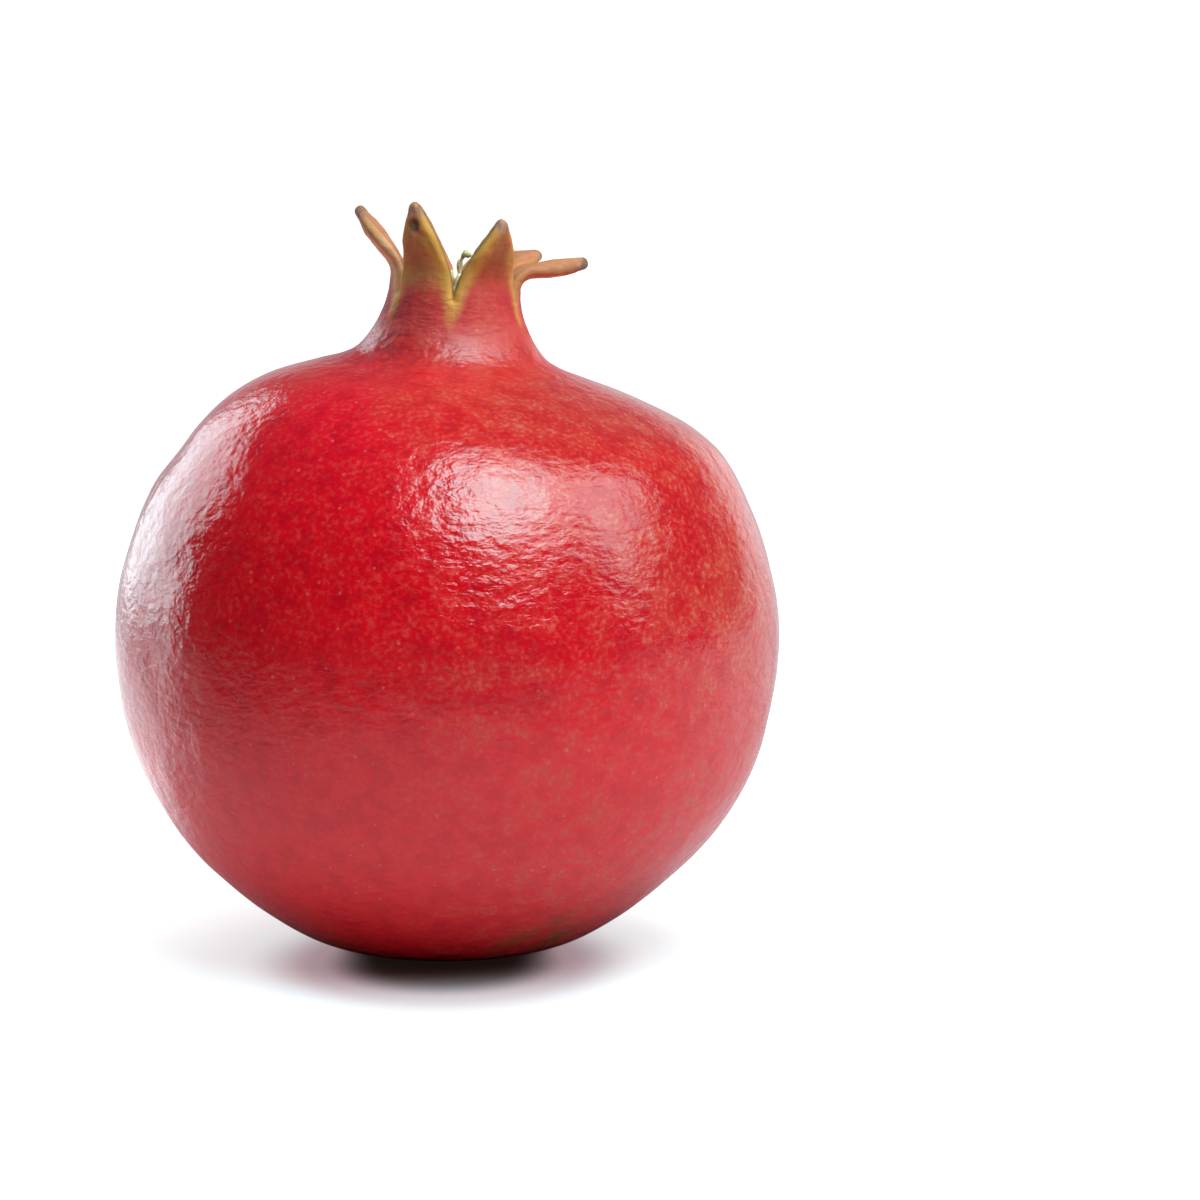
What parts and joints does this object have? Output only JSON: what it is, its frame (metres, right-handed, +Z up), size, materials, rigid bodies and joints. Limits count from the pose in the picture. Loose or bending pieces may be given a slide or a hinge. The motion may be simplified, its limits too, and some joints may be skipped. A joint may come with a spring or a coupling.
{
  "type": "pomegranate",
  "caption": "Whole ripe pomegranate: a round leathery red fruit that rests on a small flat ring, with a short neck opening into a crown of pointed sepals round dried stamens.",
  "frame": {"origin": "on the floor under the middle of the belly, at the centre of the resting ring", "axes": "+Z up through the crown, -Y towards the notch between the two upright front sepals, +X towards the sepal that is bent out to the side"},
  "size_m": [0.0951, 0.0937, 0.1081],
  "materials": {
    "rind": "ripe red fruit skin, waxy and glossy over fine wrinkles, pale pin-prick speckles, brownish ochre sepals",
    "stamens": "dry matt straw-brown threads with darker swollen ends"
  },
  "bodies": {
    "root": {"rind": "rind", "stamens": "stamens"}
  },
  "joints": []
}
